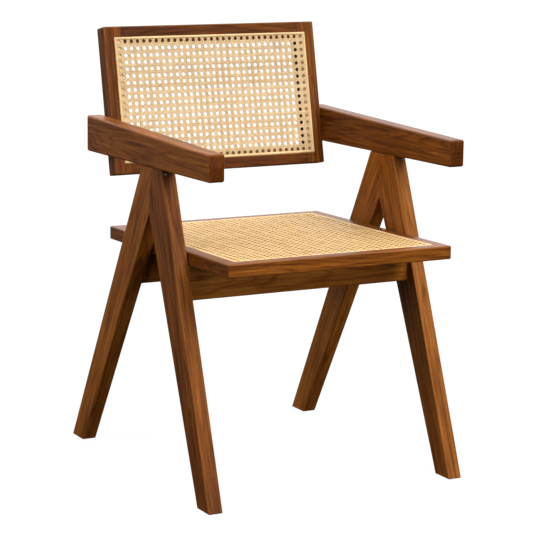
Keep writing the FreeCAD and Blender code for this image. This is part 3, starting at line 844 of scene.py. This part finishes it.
# Back cane and its spline
# The same six-way cane and reed spline as on the seat, stretched in the back frame. Its outermost holes
# lie over the ledge, so they show wood, and the others show daylight.
back_first_u = -15.08 * hole_pitch                    # a column of holes at the left
back_first_v = back_height / 2 - 8.54 * hole_pitch    # and a row at the bottom
# The back's strands keep most of their bark colour below, so little painted shade shows in its holes.
back_least_unshaded_bark = 0.8
back_bark = rattan_cane("back_cane_bark", tint=(0.89, 0.95, 1.08))
weave("back_cane", back_panel, 2 * half_width, back_height, back_border,
      back_first_u, back_first_v, back_bark, back_least_unshaded_bark)
spline_ring("back_spline_reed", back_panel, 2 * half_width, back_height, back_border, "back_spline")

# Arms
# Straight hardwood bars, deeper at the rear than at the front, lie on the A frames and along the outside
# of the back. Dowels hold them to the legs below and to the stiles beside them.
arm_arris = 0.004
arm_front = (arm_low.y, arm_front_top - arm_front_depth, arm_front_top)
arm_rear = (arm_high.y, arm_low.z, arm_high.z)
# The left arm's lighter tone is partly painted sheen on its outer side.
for side, sign, tone in (("left", -1.0, 0.035), ("right", 1.0, -0.025)):
    node = side + "_armrest"
    sections = []
    for y, z_low, z_high in (arm_front, arm_rear):
        sections.append([
            (sign * arm_low.x, y, z_low), (sign * arm_high.x, y, z_low),
            (sign * arm_high.x, y, z_high), (sign * arm_low.x, y, z_high),
        ])
    bar = eased_bar(sections, [(arm_arris,) * 4] * 2, (arm_arris, arm_arris))
    wooden_piece(node + "_bar", bar, (0.0, 1.0, 0.0), (0.0, 0.0, 1.0), node, tone)


# Dowels and mitre tongues
# Turned beech dowels and thin hardwood tongues, glued inside the joints of the frame. They are hidden
# there, so they keep their plain shapes.
def pale_beech():
    """Plain pale beech with small flecks."""
    material, tree, shader = new_material("pale_beech")
    place = add_node(tree, "ShaderNodeTexCoord").outputs["Object"]
    flecks = noise_node(tree, place, scale=900.0, detail=3.0, roughness=0.6)
    colour = ramp_node(tree, flecks, [(0.35, (0.50, 0.32, 0.17)), (0.65, (0.66, 0.46, 0.27))])
    tree.links.new(colour, shader.inputs["Base Color"])
    shader.inputs["Roughness"].default_value = 0.6
    return material


beech = pale_beech()
for node in ("apex_dowels", "arm_dowels", "arm_to_back_dowels", "back_frame_dowels", "seat_mitre_keys"):
    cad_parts[node].material_slots[0].material = beech


# Screws
# Zinc-plated countersunk wood screws: one through the top of each A from its front, and one up through
# each end of the stretchers into the seat.
def zinc_steel():
    """Dull zinc plating with a fine cloudy grain."""
    material, tree, shader = new_material("zinc_steel")
    place = add_node(tree, "ShaderNodeTexCoord").outputs["Object"]
    cloud = noise_node(tree, place, scale=1500.0, detail=3.0, roughness=0.6)
    colour = ramp_node(tree, cloud, [(0.3, (0.16, 0.15, 0.14)), (0.7, (0.30, 0.29, 0.27))])
    tree.links.new(colour, shader.inputs["Base Color"])
    shader.inputs["Metallic"].default_value = 0.9
    shader.inputs["Roughness"].default_value = 0.5
    return material


zinc = zinc_steel()
for node in ("apex_screws", "seat_screws"):
    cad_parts[node].material_slots[0].material = zinc

# Floor
# A plain white studio floor that sweeps up far away on every side, so that no edge of it shows. It glows
# evenly, as a lit floor does, and only the camera sees it.
floor_reach = 45.0
sweep_radius = 15.0
inner_reach = 15.0           # of the flat middle
floor_spokes = 96
sweep_steps = 12
floor_turn = np.linspace(0.0, 2 * np.pi, floor_spokes, endpoint=False)
sweep_turn = np.append(0.0, np.linspace(0.0, np.pi / 2, sweep_steps))[:, None]
sweep_out = floor_reach + sweep_radius * np.sin(sweep_turn)
sweep_out[0] = inner_reach
floor_points = np.stack(np.broadcast_arrays(
    sweep_out * np.cos(floor_turn), sweep_out * np.sin(floor_turn), sweep_radius * (1 - np.cos(sweep_turn)),
), axis=-1)
floor_rows = np.arange(floor_points.shape[0] * floor_points.shape[1]).reshape(floor_points.shape[:2])
floor_next = np.roll(floor_rows, -1, axis=1)
floor_quads = np.stack([floor_rows[:-1], floor_rows[1:], floor_next[1:], floor_next[:-1]], axis=-1)
floor_mesh = bpy.data.meshes.new("pale_floor")
floor_faces = [floor_rows[0].tolist(), *floor_quads.reshape(-1, 4).tolist()]
floor_mesh.from_pydata(floor_points.reshape(-1, 3).tolist(), [], floor_faces)
floor = bpy.data.objects.new("pale_floor", floor_mesh)
bpy.context.scene.collection.objects.link(floor)
floor_material, _, floor_shader = new_material("pale_floor")
floor_shader.inputs["Base Color"].default_value = (0.05, 0.05, 0.05, 1.0)
floor_shader.inputs["Roughness"].default_value = 0.9
floor_shader.inputs["Specular IOR Level"].default_value = 0.0
floor_shader.inputs["Emission Color"].default_value = (1.0, 1.0, 1.0, 1.0)
floor_shader.inputs["Emission Strength"].default_value = 0.94
floor_mesh.materials.append(floor_material)
floor.visible_glossy = False
floor.visible_diffuse = False
floor.visible_shadow = False
floor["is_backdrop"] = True

# Studio light
# A broad soft key light high at the right front, a weak low one in front and another on the left, all
# far off. The surround is pale overhead and brightest at the right rear, which the top faces mirror.
scene = bpy.context.scene
scene.view_settings.view_transform = "Standard"
surround = bpy.data.worlds.new("surround")
surround.use_nodes = True
sky = surround.node_tree
sky.nodes["Background"].inputs["Color"].default_value = (1.0, 1.0, 1.0, 1.0)
right_rear = (0.475, 0.88, 0.0)
direction = add_node(sky, "ShaderNodeSeparateXYZ")
heading = add_node(sky, "ShaderNodeVectorMath", operation="DOT_PRODUCT")
heading.inputs[1].default_value = right_rear
outward = add_node(sky, "ShaderNodeTexCoord").outputs["Generated"]
sky.links.new(outward, direction.inputs["Vector"])
sky.links.new(outward, heading.inputs[0])
overhead = graded(sky, direction.outputs["Z"], (0.0, 0.50), (0.05, 1.0))
behind = graded(sky, heading.outputs["Value"], (0.30, 0.95), (0.0, 3.1))
above_floor = graded(sky, direction.outputs["Z"], (-0.2, 0.2), (0.03, 1.0))
backdrop = math_node(sky, "MULTIPLY", behind, above_floor)
glow = math_node(sky, "MAXIMUM", overhead, backdrop)
sky.links.new(glow, sky.nodes["Background"].inputs["Strength"])
scene.world = surround
for name, azimuth, elevation, spread, strength in (
    ("key_light", 18.0, 51.0, 43.0, 4.35),
    ("front_light", 2.0, 5.0, 12.0, 0.55),
    ("left_light", -97.0, 30.0, 40.0, 1.4),
):
    lamp = bpy.data.lights.new(name, "SUN")
    lamp.angle = math.radians(spread)
    lamp.energy = strength
    light = bpy.data.objects.new(name, lamp)
    light.rotation_euler = (math.radians(90.0 - elevation), 0.0, math.radians(azimuth))
    scene.collection.objects.link(light)

# Camera
# The photograph's view: a long lens at the chair's left front, a little higher than its back, turned
# slightly about its own axis.
view_azimuth = math.radians(-28.525)
view_elevation = math.radians(10.782)
view_roll = math.radians(0.73)
view_distance = 3.9269
view_target = Vector((0.0132, 0.0, 0.3584))
level_share = math.cos(view_elevation)
toward_camera = Vector((
    math.sin(view_azimuth) * level_share, -math.cos(view_azimuth) * level_share, math.sin(view_elevation),
))
right = (-toward_camera).cross(Vector((0.0, 0.0, 1.0))).normalized()
up = toward_camera.cross(right)
rolled_right = math.cos(view_roll) * right + math.sin(view_roll) * up
rolled_up = math.cos(view_roll) * up - math.sin(view_roll) * right
lens = bpy.data.cameras.new("camera")
lens.lens = 140.49
lens.sensor_width = 36.0
camera = bpy.data.objects.new("camera", lens)
camera.matrix_world = Matrix((rolled_right, rolled_up, toward_camera)).transposed().to_4x4()
camera.location = view_target + view_distance * toward_camera
scene.collection.objects.link(camera)
scene.camera = camera

low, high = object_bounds()
